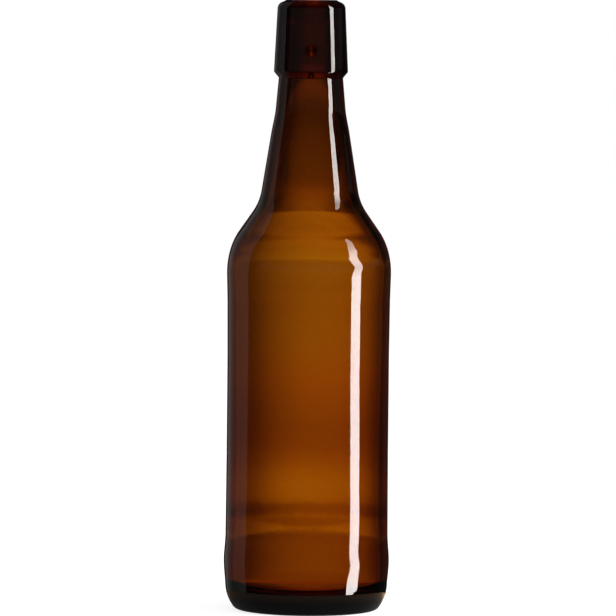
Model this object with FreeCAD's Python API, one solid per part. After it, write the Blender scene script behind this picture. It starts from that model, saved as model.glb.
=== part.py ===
import FreeCAD, Part
import math
import os

# A swing-top bottle finish on a cylindrical glass body, one solid.
# Millimetres. +Z up, origin at the centre of the bearing plane, bail sockets on -Y and +Y.

# Heights, stacked up from the bearing plane
body_height = 148.3           # to the corner where the shoulder starts
shoulder_height = 25.6        # from there to the root of the neck
neck_height = 53.0            # from the root to the underside of the collar
collar_height = 31.4          # from its underside to its top shoulder
lip_height = 1.7              # sealing lip above the collar's shoulder

# Body
panel_radius = 34.4           # label panel, the recessed middle of the body
heel_ring_proud = 1.0         # lower contact ring beyond the panel
shoulder_ring_proud = 0.65    # upper contact ring beyond the panel
heel_ring_height = 20.9       # crest of the lower contact ring
ring_fade = 9.6               # a ring's crest to where it has nearly died away
panel_draft = 0.2             # what is left of a ring there
panel_margin = 37.0           # length over which that last bit dies away

# Heel and base
bearing_inset = 9.8           # inner edge of the bearing ring inside the panel
heel_inset = 3.9              # corner of the bearing plane and the heel inside the panel
heel_round = 3.1
heel_height = 5.5             # corner between the heel's lower and upper slopes
heel_tuck = 0.3               # that corner inside the panel
upper_heel_round = 15.5
punt_height = 3.6
base_thickness = 5.9          # over the middle of the punt
floor_fall = 0.4              # the floor's edge below its middle
inner_heel_draft = 0.4
inner_heel_round = 5.0

# Neck and collar
neck_root_radius = 21.3
neck_break_height = 38.0      # above the root, where the cone eases off
neck_break_radius = 14.95
neck_swell = 0.23             # slight fullness of the cone
neck_top_radius = 13.6
collar_radius = 15.7          # at its lower edge
collar_step = 2.5             # height of the sloping underside
collar_top_radius = 14.3
collar_top_round = 2.9
lip_radius = 10.6             # outer edge of the flat sealing lip
lip_slope_width = 1.1         # bevel outside the lip
lip_slope_drop = 0.65
bore_radius = 8.0             # at the mouth
mouth_depth = 8.2             # straight part of the bore
mouth_step = 0.5              # the bore is that much wider below it
mouth_ease = 2.0              # height over which it widens

# Glass
wall = 2.8                    # upper half of the label panel
low_wall = 3.6                # lower half and the heel
ring_wall = 2.6               # behind the upper contact ring
shoulder_wall = 3.0           # square to the shoulder's slope
neck_wall = 3.55
wall_margin = 8.0             # from a ring's fade to the panel's own wall

# Bail sockets
socket_drop = 21.4            # centre below the top of the lip
socket_mouth = 4.6
socket_floor = 2.4
socket_depth = 2.4
socket_round = 0.5

# Knurled bearing ring
knurl_count = 48
knurl_length = 2.0            # along the radius
knurl_width = 1.1
knurl_bow = 0.45              # sideways bow of each crescent
knurl_depth = 0.45

shoulder_top = body_height + shoulder_height
collar_base = shoulder_top + neck_height
collar_top = collar_base + collar_height
total_height = collar_top + lip_height
bearing_inner_radius = panel_radius - bearing_inset
heel_radius = panel_radius - heel_inset
heel_ring_radius = panel_radius + heel_ring_proud
shoulder_ring_radius = panel_radius + shoulder_ring_proud
panel_low = heel_ring_height + ring_fade
panel_high = body_height - ring_fade
slope_radius = shoulder_ring_radius - 0.2 * (shoulder_ring_radius - neck_root_radius)
slope_z = body_height + 0.38 * shoulder_height
break_z = shoulder_top + neck_break_height
swell_z = break_z - 0.2 * neck_break_height
swell_radius = neck_break_radius + 0.2 * (neck_root_radius - neck_break_radius) + neck_swell
floor = punt_height + base_thickness


def point(radius, height):
    return FreeCAD.Vector(radius, 0, height)


def rounded_path(corners):
    """Edges of an open path through (radius, height, bend) corners, each bend a tangent arc."""
    edges = []
    start = point(*corners[0][:2])
    for i in range(1, len(corners) - 1):
        here = point(*corners[i][:2])
        if corners[i][2] == 0:
            edges.append(Part.makeLine(start, here))
            start = here
            continue
        back = (point(*corners[i - 1][:2]) - here).normalize()
        ahead = (point(*corners[i + 1][:2]) - here).normalize()
        bend = corners[i][2]
        half_turn = (math.pi - back.getAngle(ahead)) / 2
        setback = bend * math.tan(half_turn)
        entry = here + back * setback
        leave = here + ahead * setback
        inward = (back + ahead).normalize()
        middle = here + inward * (bend / math.cos(half_turn) - bend)
        edges.append(Part.makeLine(start, entry))
        edges.append(Part.Arc(entry, middle, leave).toShape())
        start = leave
    edges.append(Part.makeLine(start, point(*corners[-1][:2])))
    return edges


def outside_corners():
    """From the middle of the base, out under it and up to the crown of the lip."""
    return [
        (0, punt_height, 0),
        (0.53 * bearing_inner_radius, punt_height, 60),
        (bearing_inner_radius - 1.5, 1.5, 2.5),
        (bearing_inner_radius, 0, 0.4),
        (heel_radius, 0, heel_round),
        (panel_radius - heel_tuck, heel_height, upper_heel_round),
        (heel_ring_radius, heel_ring_height, 45),
        (panel_radius + panel_draft, panel_low, 60),
        (panel_radius, panel_low + panel_margin, 0),
        (panel_radius, panel_high - 0.8 * panel_margin, 0),
        (panel_radius + panel_draft, panel_high - 6.5, 60),
        (shoulder_ring_radius, body_height, 35),
        (slope_radius, slope_z, 27),
        (neck_root_radius, shoulder_top, 22),
        (swell_radius, swell_z, 60),
        (neck_break_radius, break_z, 40),
        (neck_top_radius, collar_base, 1.0),
        (collar_radius, collar_base + collar_step, 0.9),
        (collar_top_radius, collar_top, collar_top_round),
        (lip_radius + lip_slope_width, total_height - lip_slope_drop, 0.8),
        (lip_radius, total_height, 0.8),
        (0.5 * (lip_radius + bore_radius), total_height, 0),
    ]


def inside_corners():
    """From the crown of the lip down the bore to the middle of the floor."""
    heel_in = heel_ring_radius - low_wall
    return [
        (0.5 * (lip_radius + bore_radius), total_height, 0),
        (bore_radius, total_height, 1.0),
        (bore_radius, total_height - mouth_depth, 4),
        (bore_radius + mouth_step, total_height - mouth_depth - mouth_ease, 4),
        (neck_top_radius - 1.12 * neck_wall, collar_base, 30),
        (neck_break_radius - neck_wall, break_z, 40),
        (swell_radius - neck_wall, swell_z, 60),
        (neck_root_radius - 0.95 * neck_wall, shoulder_top, 22),
        (slope_radius - 0.92 * shoulder_wall, slope_z - 0.43 * shoulder_wall, 24),
        (shoulder_ring_radius - ring_wall, body_height - 0.5, 26),
        (panel_radius - wall, panel_high - wall_margin, 60),
        (panel_radius - low_wall, 0.45 * body_height, 0),
        (panel_radius - low_wall, panel_low + wall_margin, 60),
        (heel_in, heel_ring_height, 60),
        (heel_in - inner_heel_draft, floor - floor_fall, inner_heel_round),
        (0.5 * bearing_inner_radius, floor, 60),
        (0, floor, 0),
    ]


def glass_body():
    """The hollow bottle, turned from one closed section."""
    edges = rounded_path(outside_corners()) + rounded_path(inside_corners())
    edges.append(Part.makeLine(point(0, floor), point(0, punt_height)))
    section = Part.Face(Part.Wire(edges))
    return section.revolve(FreeCAD.Vector(0, 0, 0), FreeCAD.Vector(0, 0, 1), 360)


def socket_cutter(side):
    """Tapered plug with a domed end that leaves one bail socket; side is -1 or +1 along Y."""
    height = total_height - socket_drop
    slope = (collar_radius - collar_top_radius) / (collar_height - collar_step)
    surface = collar_radius - slope * (height - collar_base - collar_step)
    reach = 2.0
    dome = 0.3 * socket_depth
    taper = (socket_mouth - socket_floor) / 2 / (socket_depth - dome)
    bottom = surface - socket_depth
    mid_arc = FreeCAD.Vector(0.55 * socket_floor / 2, bottom + 0.22 * dome, 0)
    tip = FreeCAD.Vector(0, bottom, 0)
    rim = FreeCAD.Vector(socket_floor / 2, bottom + dome, 0)
    outer_radius = socket_floor / 2 + taper * (socket_depth - dome + reach)
    outer = FreeCAD.Vector(outer_radius, surface + reach, 0)
    end = FreeCAD.Vector(0, surface + reach, 0)
    edges = [
        Part.Arc(tip, mid_arc, rim).toShape(),
        Part.makeLine(rim, outer),
        Part.makeLine(outer, end),
        Part.makeLine(end, tip),
    ]
    section = Part.Face(Part.Wire(edges))
    plug = section.revolve(FreeCAD.Vector(0, 0, 0), FreeCAD.Vector(0, 1, 0), 360)
    if side < 0:
        plug.rotate(FreeCAD.Vector(0, 0, 0), FreeCAD.Vector(0, 0, 1), 180)
    plug.translate(FreeCAD.Vector(0, 0, height))
    return plug


def socket_mouths(shape):
    """The edges where the sockets break the collar's outside."""
    height = total_height - socket_drop
    found = []
    for edge in shape.Edges:
        box = edge.BoundBox
        near = abs(box.Center.z - height) < 0.5 and abs(box.Center.x) < 0.5
        ring = 0.9 * socket_mouth < box.ZLength < 1.1 * socket_mouth
        if near and ring and abs(box.Center.y) > bore_radius:
            found.append(edge)
    return found


def knurl_cutters():
    """Crescent pockets all round the bearing ring."""
    flat_out = bearing_flat_outer()
    ring = 0.5 * (bearing_inner_radius + 0.2 + flat_out)
    inner = ring - knurl_length / 2
    outer = ring + knurl_length / 2
    near = knurl_bow - knurl_width / 2
    far = knurl_bow + knurl_width / 2
    low_tip = FreeCAD.Vector(inner, 0, -1)
    high_tip = FreeCAD.Vector(outer, 0, -1)
    back = Part.Arc(low_tip, FreeCAD.Vector(ring, near, -1), high_tip).toShape()
    front = Part.Arc(high_tip, FreeCAD.Vector(ring, far, -1), low_tip).toShape()
    crescent = Part.Face(Part.Wire([back, front]))
    cutter = crescent.extrude(FreeCAD.Vector(0, 0, 1 + knurl_depth))
    cutters = []
    for i in range(knurl_count):
        turned = cutter.copy()
        angle = 360.0 * i / knurl_count
        turned.rotate(FreeCAD.Vector(0, 0, 0), FreeCAD.Vector(0, 0, 1), angle)
        cutters.append(turned)
    return cutters


def bearing_flat_outer():
    """Outer radius of the flat bearing ring, where the heel's rounding starts."""
    run = panel_radius - heel_tuck - heel_radius
    turn = math.atan2(heel_height, run)
    return heel_radius - heel_round * math.tan(turn / 2)


def build_bottle():
    bottle = glass_body()
    bottle = bottle.cut([socket_cutter(-1), socket_cutter(1)])
    bottle = bottle.makeFillet(socket_round, socket_mouths(bottle))
    bottle = bottle.cut(knurl_cutters())
    return bottle.Solids[0]


os.makedirs("parts", exist_ok=True)
bottle = build_bottle()
bottle.exportStep("parts/bottle.step")
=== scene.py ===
import bpy
import math
from mathutils import Matrix, Vector, noise


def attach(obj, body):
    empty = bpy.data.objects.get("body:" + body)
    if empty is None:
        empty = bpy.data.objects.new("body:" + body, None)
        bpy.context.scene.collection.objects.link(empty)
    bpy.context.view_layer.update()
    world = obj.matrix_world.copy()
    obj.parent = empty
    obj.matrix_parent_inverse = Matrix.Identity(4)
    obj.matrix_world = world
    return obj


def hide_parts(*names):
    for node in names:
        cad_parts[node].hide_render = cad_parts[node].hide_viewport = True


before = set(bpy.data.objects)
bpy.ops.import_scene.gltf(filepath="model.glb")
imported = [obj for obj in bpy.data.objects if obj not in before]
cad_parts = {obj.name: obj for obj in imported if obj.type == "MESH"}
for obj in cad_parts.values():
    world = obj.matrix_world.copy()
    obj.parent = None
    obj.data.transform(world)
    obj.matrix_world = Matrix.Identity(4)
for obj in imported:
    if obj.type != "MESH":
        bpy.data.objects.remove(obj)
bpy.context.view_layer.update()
MM = 0.001
TINY = 1e-6

# ---------------------------------------------------------------- sizes of the glass, in millimetres
# heights, stacked up from the bearing plane
BODY_HEIGHT = 148.3
SHOULDER_HEIGHT = 25.6
NECK_HEIGHT = 53.0
COLLAR_HEIGHT = 31.4
LIP_HEIGHT = 1.7
# body
PANEL_RADIUS = 34.4
HEEL_RING_RADIUS = PANEL_RADIUS + 1.0
SHOULDER_RING_RADIUS = PANEL_RADIUS + 0.65
HEEL_RING_Z = 20.9
RING_FADE = 9.6
PANEL_DRAFT = 0.2
PANEL_MARGIN = 37.0
# heel and base
BEARING_INNER_RADIUS = PANEL_RADIUS - 9.8
HEEL_RADIUS = PANEL_RADIUS - 3.9
HEEL_ROUND = 3.1
HEEL_HEIGHT = 5.5
HEEL_TUCK = 0.3
UPPER_HEEL_ROUND = 15.5
PUNT_HEIGHT = 3.6
BASE_THICKNESS = 5.9
FLOOR_FALL = 0.4
INNER_HEEL_DRAFT = 0.4
INNER_HEEL_ROUND = 5.0
# neck and collar
ROOT_RADIUS = 21.3
BREAK_HEIGHT = 38.0
BREAK_RADIUS = 14.95
NECK_SWELL = 0.23
NECK_TOP_RADIUS = 13.6
COLLAR_RADIUS = 15.7
COLLAR_STEP = 2.5
COLLAR_TOP_RADIUS = 14.3
COLLAR_TOP_ROUND = 2.9
LIP_RADIUS = 10.6
LIP_SLOPE_WIDTH = 1.1
LIP_SLOPE_DROP = 0.65
BORE_RADIUS = 8.0
MOUTH_DEPTH = 8.2
MOUTH_STEP = 0.5
MOUTH_EASE = 2.0
# glass
WALL = 2.8
LOW_WALL = 3.6
RING_WALL = 2.6
SHOULDER_WALL = 3.0
NECK_WALL = 3.55
WALL_MARGIN = 8.0
# bail sockets
SOCKET_DROP = 21.4
SOCKET_MOUTH = 4.6
SOCKET_FLOOR = 2.4
SOCKET_DEPTH = 2.4
SOCKET_ROUND = 0.5
SOCKET_ROUND_DROP = 0.08    # how far the rounded mouth has sunk where the wall of the socket starts
# knurled bearing ring
KNURL_COUNT = 48
KNURL_LENGTH = 2.0
KNURL_WIDTH = 1.1
KNURL_BOW = 0.45
KNURL_DEPTH = 0.45
KNURL_EDGE = 0.18           # width over which the side of a pocket falls
# in the scene alone: the ripple of blown glass, inside and outside, and the mould seams
INNER_RIPPLE = 0.04
INNER_RIPPLE_SIZE = 30
INNER_RIPPLE_LOW = 10       # it starts at this height, just above the floor
INNER_RIPPLE_HIGH = 215     # and has died away at this one, in the neck
OUTER_RIPPLE = 0.008
OUTER_RIPPLE_SIZE = 14
SEAM_PROUD = 0.07
SEAM_WIDTH = 0.28
SEAM_REACH = 2.0            # nothing is left of a seam this far to its side
SEAM_LOW = 3.0

ROOT_Z = BODY_HEIGHT + SHOULDER_HEIGHT
COLLAR_Z = ROOT_Z + NECK_HEIGHT
COLLAR_TOP_Z = COLLAR_Z + COLLAR_HEIGHT
TOP_Z = COLLAR_TOP_Z + LIP_HEIGHT
FLOOR_Z = PUNT_HEIGHT + BASE_THICKNESS
BREAK_Z = ROOT_Z + BREAK_HEIGHT
SWELL_Z = BREAK_Z - 0.2 * BREAK_HEIGHT
SWELL_RADIUS = BREAK_RADIUS + 0.2 * (ROOT_RADIUS - BREAK_RADIUS) + NECK_SWELL
PANEL_LOW = HEEL_RING_Z + RING_FADE
PANEL_HIGH = BODY_HEIGHT - RING_FADE
SLOPE_RADIUS = SHOULDER_RING_RADIUS - 0.2 * (SHOULDER_RING_RADIUS - ROOT_RADIUS)
SLOPE_Z = BODY_HEIGHT + 0.38 * SHOULDER_HEIGHT
SOCKET_Z = TOP_Z - SOCKET_DROP
HEEL_TURN = math.atan2(HEEL_HEIGHT, PANEL_RADIUS - HEEL_TUCK - HEEL_RADIUS)
BEARING_OUTER_RADIUS = HEEL_RADIUS - HEEL_ROUND * math.tan(HEEL_TURN / 2)

# how finely the mesh follows the glass, in millimetres unless it says otherwise
ARC_STEP = 0.03             # radians
LINE_STEP = 1.5
COLUMN_STEP = 1.5           # degrees
SOCKET_COLUMN_STEP = 0.75   # degrees
SOCKET_COLUMNS = 24         # finer columns to each side of the middle of a socket
SEAM_COLUMNS = (0.25, 0.5, 0.8, 1.1)    # degrees to each side of a seam
SOCKET_ROW_STEP = 0.22
SOCKET_ROW_REACH = 4.2      # finer rows this far above and below the middle of a socket
KNURL_ROW_STEP = 0.16
KNURL_ROW_MARGIN = 0.3      # finer rows this far past the bearing ring
KNURL_SPLIT = 4             # columns over the bearing ring for each one elsewhere


# ---------------------------------------------------------------- the section
def line_points(start, end):
    """Points from start, left out, to end."""
    gap = (end - start).length
    if gap < TINY:
        return []
    count = max(1, math.ceil(gap / LINE_STEP))
    return [start.lerp(end, k / count) for k in range(1, count + 1)]


def arc_points(entry, leave, centre, turned):
    """Points round a centre from entry, left out, to leave, which are a turn apart."""
    count = max(3, math.ceil(turned / ARC_STEP))
    a = entry - centre
    b = leave - centre
    turn = math.atan2(a.x * b.y - a.y * b.x, a.dot(b))
    points = []
    for k in range(1, count + 1):
        angle = turn * k / count
        c = math.cos(angle)
        s = math.sin(angle)
        points.append(centre + Vector((a.x * c - a.y * s, a.x * s + a.y * c)))
    return points


def bend_path(corners):
    """(radius, height) points along a path of corners, each with the radius of its tangent arc."""
    points = [Vector(corners[0][:2])]
    for i in range(1, len(corners) - 1):
        here = Vector(corners[i][:2])
        bend = corners[i][2]
        if bend == 0:
            points += line_points(points[-1], here)
            continue
        back = (Vector(corners[i - 1][:2]) - here).normalized()
        ahead = (Vector(corners[i + 1][:2]) - here).normalized()
        half_turn = (math.pi - back.angle(ahead)) / 2
        setback = bend * math.tan(half_turn)
        entry = here + back * setback
        leave = here + ahead * setback
        centre = here + (back + ahead).normalized() * (bend / math.cos(half_turn))
        points += line_points(points[-1], entry)
        points += arc_points(entry, leave, centre, 2 * half_turn)
    points += line_points(points[-1], Vector(corners[-1][:2]))
    return points


def outside_path():
    """From the middle of the base, out under it and up to the crown of the lip."""
    return bend_path([
        (0, PUNT_HEIGHT, 0),
        (0.53 * BEARING_INNER_RADIUS, PUNT_HEIGHT, 60),
        (BEARING_INNER_RADIUS - 1.5, 1.5, 2.5),
        (BEARING_INNER_RADIUS, 0, 0.4),
        (HEEL_RADIUS, 0, HEEL_ROUND),
        (PANEL_RADIUS - HEEL_TUCK, HEEL_HEIGHT, UPPER_HEEL_ROUND),
        (HEEL_RING_RADIUS, HEEL_RING_Z, 45),
        (PANEL_RADIUS + PANEL_DRAFT, PANEL_LOW, 60),
        (PANEL_RADIUS, PANEL_LOW + PANEL_MARGIN, 0),
        (PANEL_RADIUS, PANEL_HIGH - 0.8 * PANEL_MARGIN, 0),
        (PANEL_RADIUS + PANEL_DRAFT, PANEL_HIGH - 6.5, 60),
        (SHOULDER_RING_RADIUS, BODY_HEIGHT, 35),
        (SLOPE_RADIUS, SLOPE_Z, 27),
        (ROOT_RADIUS, ROOT_Z, 22),
        (SWELL_RADIUS, SWELL_Z, 60),
        (BREAK_RADIUS, BREAK_Z, 40),
        (NECK_TOP_RADIUS, COLLAR_Z, 1.0),
        (COLLAR_RADIUS, COLLAR_Z + COLLAR_STEP, 0.9),
        (COLLAR_TOP_RADIUS, COLLAR_TOP_Z, COLLAR_TOP_ROUND),
        (LIP_RADIUS + LIP_SLOPE_WIDTH, TOP_Z - LIP_SLOPE_DROP, 0.8),
        (LIP_RADIUS, TOP_Z, 0.8),
        (0.5 * (LIP_RADIUS + BORE_RADIUS), TOP_Z, 0),
    ])


def inside_path():
    """From the crown of the lip down the bore to the middle of the floor."""
    heel_in = HEEL_RING_RADIUS - LOW_WALL
    return bend_path([
        (0.5 * (LIP_RADIUS + BORE_RADIUS), TOP_Z, 0),
        (BORE_RADIUS, TOP_Z, 1.0),
        (BORE_RADIUS, TOP_Z - MOUTH_DEPTH, 4),
        (BORE_RADIUS + MOUTH_STEP, TOP_Z - MOUTH_DEPTH - MOUTH_EASE, 4),
        (NECK_TOP_RADIUS - 1.12 * NECK_WALL, COLLAR_Z, 30),
        (BREAK_RADIUS - NECK_WALL, BREAK_Z, 40),
        (SWELL_RADIUS - NECK_WALL, SWELL_Z, 60),
        (ROOT_RADIUS - 0.95 * NECK_WALL, ROOT_Z, 22),
        (SLOPE_RADIUS - 0.92 * SHOULDER_WALL, SLOPE_Z - 0.43 * SHOULDER_WALL, 24),
        (SHOULDER_RING_RADIUS - RING_WALL, BODY_HEIGHT - 0.5, 26),
        (PANEL_RADIUS - WALL, PANEL_HIGH - WALL_MARGIN, 60),
        (PANEL_RADIUS - LOW_WALL, 0.45 * BODY_HEIGHT, 0),
        (PANEL_RADIUS - LOW_WALL, PANEL_LOW + WALL_MARGIN, 60),
        (heel_in, HEEL_RING_Z, 60),
        (heel_in - INNER_HEEL_DRAFT, FLOOR_Z - FLOOR_FALL, INNER_HEEL_ROUND),
        (0.5 * BEARING_INNER_RADIUS, FLOOR_Z, 60),
        (0, FLOOR_Z, 0),
    ])


def refine(points, wanted, spacing):
    """Splits the steps of a path whose middle is wanted into pieces no longer than spacing."""
    result = [points[0]]
    for a, b in zip(points, points[1:]):
        count = 1
        if wanted(a.lerp(b, 0.5)):
            count = max(1, math.ceil((b - a).length / spacing))
        for k in range(1, count + 1):
            result.append(a.lerp(b, k / count))
    return result


def beside_socket(p):
    return p.x > COLLAR_TOP_RADIUS - 0.3 and abs(p.y - SOCKET_Z) < SOCKET_ROW_REACH


def near_bearing(p, margin):
    """Whether a point of the outside is on the bearing plane, on its ring or within the margin."""
    return p.y < 0.01 and BEARING_INNER_RADIUS - margin < p.x < BEARING_OUTER_RADIUS + margin


def glass_rows():
    """(side, point) pairs: up the outside from the base, then down the inside from the lip."""
    out = refine(outside_path(), beside_socket, SOCKET_ROW_STEP)
    out = refine(out, lambda p: near_bearing(p, KNURL_ROW_MARGIN), KNURL_ROW_STEP)
    return [("out", p) for p in out] + [("in", p) for p in inside_path()[1:]]


# ---------------------------------------------------------------- columns round the axis
def column_angles():
    """Angles in radians from +X: even steps, finer at the bail sockets and at the mould seams."""
    degrees = set()
    for k in range(round(360 / COLUMN_STEP)):
        degrees.add(round(COLUMN_STEP * k, 4))
    for middle in (90, 270):
        for k in range(-SOCKET_COLUMNS, SOCKET_COLUMNS + 1):
            degrees.add(round(middle + SOCKET_COLUMN_STEP * k, 4))
    for middle in (0, 180):
        for away in SEAM_COLUMNS:
            degrees.add(round((middle + away) % 360, 4))
            degrees.add(round((middle - away) % 360, 4))
    return [math.radians(a) for a in sorted(degrees)]


def split_steps(angles, parts):
    """A closed run of angles with each step cut into parts."""
    fine = []
    for i, a in enumerate(angles):
        b = angles[i + 1] if i + 1 < len(angles) else angles[0] + 2 * math.pi
        fine += [a + (b - a) * k / parts for k in range(parts)]
    return fine


def smooth(t):
    """Eases from 0 to 1 as t does, and stays there beyond."""
    t = min(1.0, max(0.0, t))
    return t * t * (3 - 2 * t)


# ---------------------------------------------------------------- relief on the glass
def socket_depth_at(distance):
    """Depth of the bail socket at a distance from its axis."""
    wall_start = SOCKET_FLOOR / 2
    wall_end = SOCKET_MOUTH / 2
    dome = 0.3 * SOCKET_DEPTH
    if distance < wall_start:
        return SOCKET_DEPTH - dome * (distance / wall_start) ** 2
    if distance < wall_end:
        share = (wall_end - distance) / (wall_end - wall_start)
        return (SOCKET_DEPTH - dome) * share + SOCKET_ROUND_DROP
    fade = (wall_end + SOCKET_ROUND - distance) / SOCKET_ROUND
    return SOCKET_ROUND_DROP * max(0.0, fade) ** 2


def knurl_depth_at(radius, angle):
    """Depth of the crescent pockets in the bearing ring."""
    ring = 0.5 * (BEARING_INNER_RADIUS + 0.2 + BEARING_OUTER_RADIUS)
    along_pocket = (radius - ring) / (KNURL_LENGTH / 2)
    if abs(along_pocket) >= 1:
        return 0.0
    pitch = 2 * math.pi / KNURL_COUNT
    turn = (angle + pitch / 2) % pitch - pitch / 2
    sideways = turn * radius
    bow = 1 - along_pocket * along_pocket
    near = (KNURL_BOW - KNURL_WIDTH / 2) * bow
    far = (KNURL_BOW + KNURL_WIDTH / 2) * bow
    inside = min(sideways - near, far - sideways)
    return KNURL_DEPTH * smooth(inside / KNURL_EDGE + 0.5)


def ripple(x, y, z, size, seed):
    """Slow noise from -1 to 1, longer upright than across."""
    return noise.noise(Vector((x / size + seed, y / size - seed, z / (1.6 * size))))


def inside_point(radius, height, angle):
    c = math.cos(angle)
    s = math.sin(angle)
    share = smooth((height - INNER_RIPPLE_LOW) / 8) * smooth((INNER_RIPPLE_HIGH - height) / 30)
    wave = ripple(radius * c, radius * s, height, INNER_RIPPLE_SIZE, 3.1)
    radius += share * INNER_RIPPLE * wave
    return Vector((radius * c, radius * s, height))


def seam_height_at(radius, height, y):
    """How proud the mould seam at +X or -X is, at a distance y from it; none on the heel ring."""
    on_ring = radius > HEEL_RING_RADIUS - 0.15
    if on_ring or abs(y) > SEAM_REACH or not SEAM_LOW < height < COLLAR_TOP_Z:
        return 0.0
    fade = smooth((height - SEAM_LOW) / 3) * smooth((COLLAR_TOP_Z - height) / 2)
    return fade * SEAM_PROUD * math.exp(-((y / SEAM_WIDTH) ** 2))


def outside_point(radius, height, angle):
    c = math.cos(angle)
    s = math.sin(angle)
    y = radius * s
    if HEEL_HEIGHT < height < COLLAR_Z:
        share = smooth((height - HEEL_HEIGHT) / 8) * smooth((COLLAR_Z - height) / 6)
        radius += share * OUTER_RIPPLE * ripple(radius * c, y, height, OUTER_RIPPLE_SIZE, 1.7)
    radius += seam_height_at(radius, height, y)
    x = radius * c
    y = radius * s
    if COLLAR_Z + COLLAR_STEP < height < COLLAR_TOP_Z - 1 and abs(x) < 5:
        y -= math.copysign(socket_depth_at(math.hypot(x, height - SOCKET_Z)), y)
    if height < 1e-4 and BEARING_INNER_RADIUS < radius < BEARING_OUTER_RADIUS:
        height += knurl_depth_at(radius, angle)
    return Vector((x, y, height))


# ---------------------------------------------------------------- the mesh
def stitch(below, above):
    """Faces between rings of vertex numbers: alike, one with KNURL_SPLIT times more, or a pole."""
    count = min(len(below), len(above))
    if count == 1:
        return pole_fan(below, above)
    faces = []
    for i in range(count):
        j = (i + 1) % count
        if len(below) == len(above):
            faces.append((below[i], below[j], above[j], above[i]))
            continue
        many = max(below, above, key=len)
        run = [many[(i * KNURL_SPLIT + k) % len(many)] for k in range(KNURL_SPLIT + 1)]
        if many is above:
            faces.append([below[i], below[j]] + run[::-1])
        else:
            faces.append(run + [above[j], above[i]])
    return faces


def pole_fan(below, above):
    """Triangles between a ring and a single vertex on the axis."""
    if len(below) == 1:
        count = len(above)
        return [(below[0], above[(i + 1) % count], above[i]) for i in range(count)]
    count = len(below)
    return [(below[i], below[(i + 1) % count], above[0]) for i in range(count)]


def row_points(side, p, coarse, fine):
    """The points of the glass round the axis at one point of its section."""
    if p.x < TINY:
        return [Vector((0, 0, p.y))]
    if side == "in":
        return [inside_point(p.x, p.y, a) for a in coarse]
    on_bearing = p.y < 1e-4 and BEARING_INNER_RADIUS < p.x < BEARING_OUTER_RADIUS
    return [outside_point(p.x, p.y, a) for a in (fine if on_bearing else coarse)]


def build_glass():
    """The whole bottle as one closed mesh."""
    coarse = column_angles()
    fine = split_steps(coarse, KNURL_SPLIT)
    verts = []
    faces = []
    previous = None
    for side, p in glass_rows():
        points = row_points(side, p, coarse, fine)
        ring = range(len(verts), len(verts) + len(points))
        verts += points
        if previous is not None:
            faces += stitch(previous, ring)
        previous = ring
    mesh = bpy.data.meshes.new("glass_bottle")
    mesh.from_pydata([v * MM for v in verts], [], faces)
    mesh.validate()
    mesh.update()
    for poly in mesh.polygons:
        poly.use_smooth = True
    glass = bpy.data.objects.new("glass_bottle", mesh)
    bpy.context.scene.collection.objects.link(glass)
    return glass


# ---------------------------------------------------------------- materials
def node(tree, kind, at, **values):
    """A new node; each value goes to the input of that name, or else to the setting."""
    n = tree.nodes.new(kind)
    n.location = at
    for key, value in values.items():
        if key in n.inputs:
            n.inputs[key].default_value = value
        else:
            setattr(n, key, value)
    return n


def empty_material(name):
    mat = bpy.data.materials.new(name)
    mat.use_nodes = True
    mat.node_tree.nodes.clear()
    return mat


def amber_glass():
    """Clear glass whose colour is absorbed along the light's path, with faint haze and ripple."""
    mat = empty_material("amber_glass")
    tree = mat.node_tree
    link = tree.links.new
    out = node(tree, "ShaderNodeOutputMaterial", (600, 0))
    glass = node(tree, "ShaderNodeBsdfPrincipled", (250, 100), IOR=1.52)
    glass.inputs["Base Color"].default_value = (1.0, 1.0, 1.0, 1)
    glass.inputs["Transmission Weight"].default_value = 1.0
    volume = node(tree, "ShaderNodeVolumeAbsorption", (250, -350), Density=1200)
    volume.inputs["Color"].default_value = (0.8333, 0.633, 0.0, 1)
    coords = node(tree, "ShaderNodeTexCoord", (-900, 0))
    haze = node(tree, "ShaderNodeTexNoise", (-600, 150), Scale=60.0, Detail=3.0)
    roughness = node(tree, "ShaderNodeMapRange", (-350, 150))
    roughness.inputs["From Min"].default_value = 0.3
    roughness.inputs["From Max"].default_value = 0.7
    roughness.inputs["To Min"].default_value = 0.0
    roughness.inputs["To Max"].default_value = 0.03
    peel = node(tree, "ShaderNodeTexNoise", (-600, -150), Scale=220.0, Detail=2.0)
    bump = node(tree, "ShaderNodeBump", (-100, -150), Strength=0.025, Distance=0.0004)
    link(coords.outputs["Object"], haze.inputs["Vector"])
    link(coords.outputs["Object"], peel.inputs["Vector"])
    link(haze.outputs["Fac"], roughness.inputs["Value"])
    link(roughness.outputs["Result"], glass.inputs["Roughness"])
    link(peel.outputs["Fac"], bump.inputs["Height"])
    link(bump.outputs["Normal"], glass.inputs["Normal"])
    link(glass.outputs["BSDF"], out.inputs["Surface"])
    link(volume.outputs["Volume"], out.inputs["Volume"])
    return mat


def ray_mask(tree, names, at):
    """1 for any of the named kinds of ray, 0 for others."""
    path = node(tree, "ShaderNodeLightPath", at)
    total = path.outputs[names[0]]
    for k, name in enumerate(names[1:], start=1):
        high = node(tree, "ShaderNodeMath", (at[0] + 200, at[1] - 150 * k), operation="MAXIMUM")
        tree.links.new(total, high.inputs[0])
        tree.links.new(path.outputs[name], high.inputs[1])
        total = high.outputs[0]
    return total


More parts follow.
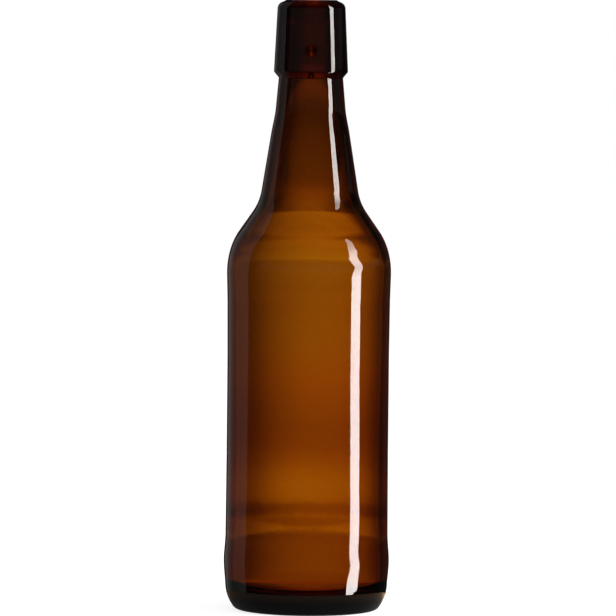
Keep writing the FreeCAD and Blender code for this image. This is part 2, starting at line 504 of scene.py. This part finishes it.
def pale_floor():
    """Matt and pale, and to the camera bright enough to be white outside the bottle's shadow.

    The stage shows this floor to camera, diffuse and shadow rays only, so the mask's other two
    kinds never reach it: reflections of the floor come from floor_card.
    """
    mat = empty_material("pale_floor")
    tree = mat.node_tree
    link = tree.links.new
    out = node(tree, "ShaderNodeOutputMaterial", (600, 0))
    matt = node(tree, "ShaderNodeBsdfDiffuse", (0, 0), Color=(0.75, 0.75, 0.75, 1))
    white = node(tree, "ShaderNodeEmission", (0, -200), Color=(1, 1, 1, 1), Strength=0.8)
    both = node(tree, "ShaderNodeAddShader", (200, -100))
    pick = node(tree, "ShaderNodeMixShader", (400, 0))
    mask = ray_mask(tree, ["Is Camera Ray", "Is Glossy Ray", "Is Transmission Ray"], (-300, 200))
    link(matt.outputs[0], both.inputs[0])
    link(white.outputs[0], both.inputs[1])
    link(mask, pick.inputs[0])
    link(matt.outputs[0], pick.inputs[1])
    link(both.outputs[0], pick.inputs[2])
    link(pick.outputs[0], out.inputs["Surface"])
    return mat


def glow_material(name):
    """Emission of the mesh's own colours."""
    mat = empty_material(name)
    tree = mat.node_tree
    out = node(tree, "ShaderNodeOutputMaterial", (300, 0))
    glow = node(tree, "ShaderNodeEmission", (0, 0), Strength=1.0)
    colour = node(tree, "ShaderNodeVertexColor", (-250, 0), layer_name="light")
    tree.links.new(colour.outputs["Color"], glow.inputs["Color"])
    tree.links.new(glow.outputs[0], out.inputs["Surface"])
    return mat


# ---------------------------------------------------------------- light seen through the glass
# A ring stands round the bottle and only rays through the glass meet it. Its levels, where 1 is
# white, are fitted to one photograph seen from the front: a separate ray trace worked out the
# level behind each part of the glass from that photograph's colours, and those numbers were
# thinned, rounded, typed in and then changed over trial renders.
# The ring's levels are painted light and shade: much of the bottle's shading seen from the front,
# brighter and darker bands up it and a falloff to both sides, is painted into them and does not come
# from the glass.
RING_DISTANCE = 250
RING_ROW_STEP = 4
# azimuth from +Y in degrees, positive towards +X, with the level there: on the panel, and where
# the light is broader
NARROW = [
    (-180, 0.5), (-75, 0.5), (-45, 0.2), (-33, 0.25), (-22.7, 0.32), (-15, 0.3), (-12, 0.26),
    (-10, 0.32), (-8, 0.45), (-6.2, 0.58), (-4.7, 0.7), (-3, 0.8), (-1, 0.92), (1, 0.98), (3, 1.02),
    (6, 1.03), (8.5, 0.97), (11, 0.87), (13, 0.78), (15, 0.64), (17, 0.53), (20, 0.42), (24, 0.33),
    (30, 0.28), (36, 0.2), (45, 0.13), (60, 0.2), (75, 0.5), (180, 0.5),
]
BROAD = [
    (-180, 0.5), (-75, 0.5), (-45, 0.3), (-33, 0.35), (-22.7, 0.38), (-15, 0.4), (-12, 0.41),
    (-10, 0.5), (-8, 0.64), (-6.2, 0.77), (-4.7, 0.87), (-3, 0.95), (-1, 1), (6, 1), (11, 0.95),
    (15, 0.78), (17, 0.67), (20, 0.53), (24, 0.4), (30, 0.3), (36, 0.2), (45, 0.13), (60, 0.2),
    (75, 0.5), (180, 0.5),
]
# height in millimetres, the level there, its green against its red, and 0 for narrow to 1 for
# broad; the camera looks down a little, so what shows low on the bottle is lower on the ring
UPRIGHT = [
    # behind the heel and below
    (-450, 1.6, 1, 0.4), (-250, 1.3, 1, 0.4), (-150, 1.1, 1, 0.4), (-100, 0.9, 1, 0.4),
    (-47, 0.71, 0.9, 0.4), (-22, 0.75, 0.89, 0.4),
    # behind the label panel
    (-3, 0.79, 0.94, 0.3), (8, 0.77, 0.94, 0.2), (16.3, 0.76, 0.96, 0), (18.4, 0.93, 1.05, 0),
    (20.2, 1.05, 1.12, 0.3), (21, 1.27, 1.24, 0.5), (22.5, 1.42, 1.34, 0.8), (24.5, 1.48, 1.4, 1),
    (30, 1.48, 1.4, 1), (36, 1.34, 1.28, 0.9), (41, 1.12, 1.12, 0.7), (46, 0.93, 0.98, 0.5),
    (55, 0.88, 0.94, 0.2), (66, 0.96, 0.94, 0), (78, 1.03, 0.93, 0), (90, 0.97, 1.0, 0),
    (105, 0.93, 1.05, 0), (112, 0.88, 1.04, 0), (118, 0.79, 0.98, 0),
    # behind the shoulder
    (135, 0.76, 0.95, 0), (143, 0.78, 0.97, 0), (147, 0.85, 1.02, 0), (150.5, 1.12, 1.12, 0),
    (154, 1.06, 1.1, 0), (158, 1.14, 1.12, 0), (163, 1.18, 1.1, 0), (165, 1.02, 1.04, 0.1),
    # behind the neck
    (167, 0.9, 1, 0.2), (170, 0.75, 0.94, 0.4), (174, 0.46, 0.93, 0.8), (178, 0.37, 0.95, 0.9),
    (186, 0.33, 1.02, 1), (196, 0.28, 0.97, 1), (202, 0.2, 0.97, 1), (215, 0.185, 0.95, 1),
    (219, 0.22, 0.95, 1),
    # behind the collar and above it
    (223, 0.34, 0.95, 1), (228, 0.41, 1.0, 1), (230.5, 0.16, 1.6, 1), (236, 0.13, 1.8, 1),
    (240, 0.17, 1.9, 1), (243, 0.22, 2.0, 1), (247, 0.19, 2.0, 1), (262, 0.15, 1.8, 1),
    (275, 0.15, 1.8, 1), (310, 0.3, 1.4, 1), (345, 0.7, 1.2, 1), (450, 0.7, 1.2, 1),
    (750, 0.3, 1.3, 1),
]
# painted shade on the ring that darkens both sides of the neck's root: azimuth, height, half width,
# half height, depth
PAINTED_SHADE_PATCHES = [
    (12.3, 187, 1.7, 4.5, 0.8), (16, 194.5, 2.6, 6, 0.97), (22, 207, 5, 9, 0.97),
    (36, 234, 14, 24, 0.85), (-9.5, 181, 2.4, 5, 0.4), (-13, 189, 3.5, 7, 0.45),
    (-36, 240, 14, 24, 0.6),
]


def along(stops, at):
    """The values at a place between stops, which are (place, value, ...) in rising order."""
    for low, high in zip(stops, stops[1:]):
        if at <= high[0]:
            share = (at - low[0]) / (high[0] - low[0])
            return [a + (b - a) * share for a, b in zip(low[1:], high[1:])]
    return stops[-1][1:]


# The ring's painted light and shade at one place on it.
def ring_painted_light(azimuth, height):
    level, green, breadth = along(UPRIGHT, height)
    narrow = along(NARROW, azimuth)[0]
    broad = along(BROAD, azimuth)[0]
    level *= narrow + (broad - narrow) * breadth
    # painted shade: darker patches at both sides of the neck's root
    for middle, middle_height, half_width, half_height, depth in PAINTED_SHADE_PATCHES:
        across = (azimuth - middle) / half_width
        up = (height - middle_height) / half_height
        level *= 1 - depth * smooth(1.5 - math.hypot(across, up))
    return (level, level * green, level)


# ---------------------------------------------------------------- stage
# The edges and levels of the cards are fitted to the same photograph: where its reflections lie
# was traced back to each card, and the rows were then changed over trial renders.
def only(obj, *rays):
    """Shows an object to the named kinds of ray alone."""
    for ray in ("camera", "diffuse", "glossy", "transmission", "volume_scatter", "shadow"):
        setattr(obj, "visible_" + ray, ray in rays)


def stage_object(name, verts, faces, material):
    mesh = bpy.data.meshes.new(name)
    mesh.from_pydata(verts, [], faces)
    mesh.materials.append(material)
    obj = bpy.data.objects.new(name, mesh)
    bpy.context.scene.collection.objects.link(obj)
    return obj


def screen(name, rows, ray, closed=False):
    """A glowing sheet met by one kind of ray; rows of (point in millimetres, colour)."""
    across = len(rows[0])
    faces = []
    for r in range(len(rows) - 1):
        for k in range(across if closed else across - 1):
            low = across * r + k
            low_next = across * r + (k + 1) % across
            faces.append((low, low_next, low_next + across, low + across))
    verts = [Vector(point) * MM for row in rows for point, colour in row]
    sheet = stage_object(name, verts, faces, glow_material(name))
    light = sheet.data.color_attributes.new("light", "FLOAT_COLOR", "POINT")
    channels = []
    for row in rows:
        for point, colour in row:
            channels += [*colour, 1]
    light.data.foreach_set("color", channels)
    only(sheet, ray)


def around(azimuth, distance, height):
    """A point at an azimuth from the camera's side, positive to the right."""
    a = math.radians(azimuth)
    return (distance * math.sin(a), -distance * math.cos(a), height)


def scaled(colour, level):
    return [channel * level for channel in colour]


def painted_light_ring():
    """What rays through the glass meet all round the bottle; its glow is painted light and shade."""
    heights = [UPRIGHT[0][0]]
    for stop in UPRIGHT[1:]:
        start = heights[-1]
        steps = math.ceil((stop[0] - start) / RING_ROW_STEP)
        heights += [start + (stop[0] - start) * k / steps for k in range(1, steps + 1)]
    rows = []
    for height in heights:
        row = []
        for azimuth in range(-180, 180):
            place = around(180 - azimuth, RING_DISTANCE, height)
            row.append((place, ring_painted_light(azimuth, height)))
        rows.append(row)
    screen("painted_light_ring", rows, "transmission", closed=True)


def arc_card(name, distance, edges, tint=(1, 1, 1), shades=((0, 1), (1, 1))):
    """A curved card seen by reflections.

    Edges are rows of (height, first azimuth, last azimuth, level); shades are (share of the
    breadth, factor) and dim each row along its breadth.
    """
    steps = 24
    rows = []
    for height, start, end, level in edges:
        row = []
        for k in range(steps + 1):
            turn = start + (end - start) * k / steps
            here = level * along(shades, k / steps)[0]
            row.append((around(turn, distance, height), scaled(tint, here)))
        rows.append(row)
    screen(name, rows, "glossy")


def left_card():
    """The broad pale card whose reflection lights the left edge, dimmest along its middle."""
    edges = [
        (-500, -156, -94, 0.13), (-90, -156, -94, 0.15), (-40, -156, -94, 0.2), (260, -156, -92, 0.2),
        (580, -156, -95, 0.2), (880, -156, -104, 0.2), (1050, -156, -111, 0.2),
    ]
    shades = ((0, 1), (0.25, 0.7), (0.48, 0.4), (0.67, 0.68), (0.82, 0.85), (0.93, 1.06), (1, 1.06))
    arc_card("left_card", 650, edges, shades=shades)


def front_cards():
    """The faint light on the front, which ends sooner on the right higher up."""
    tint = (1.0, 0.95, 0.92)
    arc_card("front_card", 2600, [(330, -75, 125, 0.08), (560, -75, 125, 0.08)], tint)
    arc_card("front_card_high", 2600, [(560, -75, 60, 0.04), (800, -75, 60, 0.04)], tint)


def strip_card():
    """The tall bright strip light on the right."""
    edges = [
        (-500, 58, 66, 14), (-360, 59, 70.5, 17), (-236, 59.5, 71.5, 17), (-222, 61, 78, 17),
        (-150, 62.5, 78.5, 17), (-30, 63.5, 79, 17), (30, 62, 77.3, 17), (100, 61.5, 77, 17),
        (160, 62.5, 78, 15), (250, 66.5, 80.5, 12), (300, 67, 80.3, 12), (345, 64, 79, 14),
        (420, 61.5, 75.5, 13), (470, 59.5, 74.7, 13), (520, 62, 76.5, 12.5), (600, 63, 78.5, 11),
        (680, 63, 78, 8.5), (760, 64, 78, 7), (860, 67, 79, 6), (1000, 69, 79, 5.5),
        (1150, 70, 77, 5),
    ]
    arc_card("strip_card", 1000, edges, (1.0, 0.94, 0.9))


def floor_card():
    """The lit floor round the base, as the heel's underside shows it; it is warmer further out."""
    levels = [
        (-180, 0.3), (-144, 0.07), (-104, 0.045), (-60, 0.08), (0, 0.115), (32, 0.13),
        (108, 0.15), (144, 0.5), (180, 0.3),
    ]
    cool = (1.0, 0.95, 0.95)
    tints = [
        (1, cool), (40, cool), (46, (1.6, 1.3, 1.1)), (53, (2.2, 1.6, 1.2)),
        (62, (2.5, 1.6, 1.0)), (71, (2.3, 1.3, 0.7)),
    ]
    just_under = -2
    rows = []
    for distance, tint in tints:
        row = []
        for turn in range(-180, 180, 6):
            colour = scaled(tint, along(levels, turn)[0])
            row.append((around(turn, distance, just_under), colour))
        rows.append(row)
    screen("floor_card", rows, "glossy", closed=True)


def build_floor():
    reach = 3
    corners = [(-reach, -reach, 0), (reach, -reach, 0), (reach, reach, 0), (-reach, reach, 0)]
    floor = stage_object("floor", corners, [(0, 1, 2, 3)], pale_floor())
    only(floor, "camera", "diffuse", "shadow")


def strip_lamp():
    """Lights the matt floor, and casts the bottle's shadow on it, from where strip_card shines."""
    width = 0.27
    height = 1.26
    radiance = 16
    at = Vector(around(71, 1.0, 0.27))
    target = Vector((0, 0, at.z))
    light = bpy.data.lights.new("strip", "AREA")
    light.shape = "RECTANGLE"
    light.size = width
    light.size_y = height
    light.color = (1.0, 0.93, 0.9)
    light.energy = radiance * math.pi * width * height
    lamp = bpy.data.objects.new("strip", light)
    lamp.location = at
    lamp.rotation_euler = (target - at).to_track_quat("-Z", "Y").to_euler()
    bpy.context.scene.collection.objects.link(lamp)
    only(lamp, "diffuse", "shadow")


def build_world():
    """White to the camera, soft on matt surfaces, and nearly dark between the ring and the cards."""
    world = bpy.data.worlds.new("studio")
    bpy.context.scene.world = world
    world.use_nodes = True
    tree = world.node_tree
    tree.nodes.clear()
    link = tree.links.new
    out = node(tree, "ShaderNodeOutputWorld", (800, 0))
    path = node(tree, "ShaderNodeLightPath", (-400, 0))
    last = node(tree, "ShaderNodeBackground", (0, 0), Color=(1, 1, 1, 1), Strength=0.35)
    kinds = (("Is Glossy Ray", 0.015), ("Is Transmission Ray", 0.04), ("Is Camera Ray", 1.0))
    for k, (flag, level) in enumerate(kinds):
        at = (0, -150 * k - 150)
        own = node(tree, "ShaderNodeBackground", at, Color=(1, 1, 1, 1), Strength=level)
        mix = node(tree, "ShaderNodeMixShader", (250 + 170 * k, 0))
        link(path.outputs[flag], mix.inputs[0])
        link(last.outputs[0], mix.inputs[1])
        link(own.outputs[0], mix.inputs[2])
        last = mix
    link(last.outputs[0], out.inputs["Surface"])


def build_stage():
    build_floor()
    painted_light_ring()
    floor_card()
    left_card()
    front_cards()
    strip_card()
    strip_lamp()


def build_camera():
    """Well in front and just above the lip, looking down a little, with half a degree of roll."""
    at = Vector((0, -2.4, 0.268))
    target = Vector((-0.0003, 0, 0.12876))
    view_width = 0.2626866      # metres across the picture at the bottle
    cam = bpy.data.cameras.new("camera")
    cam.sensor_width = 36
    cam.lens = cam.sensor_width * (target - at).length / view_width
    cam.clip_end = 50
    obj = bpy.data.objects.new("camera", cam)
    bpy.context.scene.collection.objects.link(obj)
    turn = (target - at).to_track_quat("-Z", "Y").to_matrix().to_4x4()
    roll = Matrix.Rotation(math.radians(0.55), 4, "Z")
    obj.matrix_world = Matrix.Translation(at) @ turn @ roll
    bpy.context.scene.camera = obj


glass = build_glass()
glass.data.materials.append(amber_glass())
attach(glass, "root")
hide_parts("bottle")
build_world()
build_stage()
build_camera()
bpy.context.scene.view_settings.view_transform = "Standard"
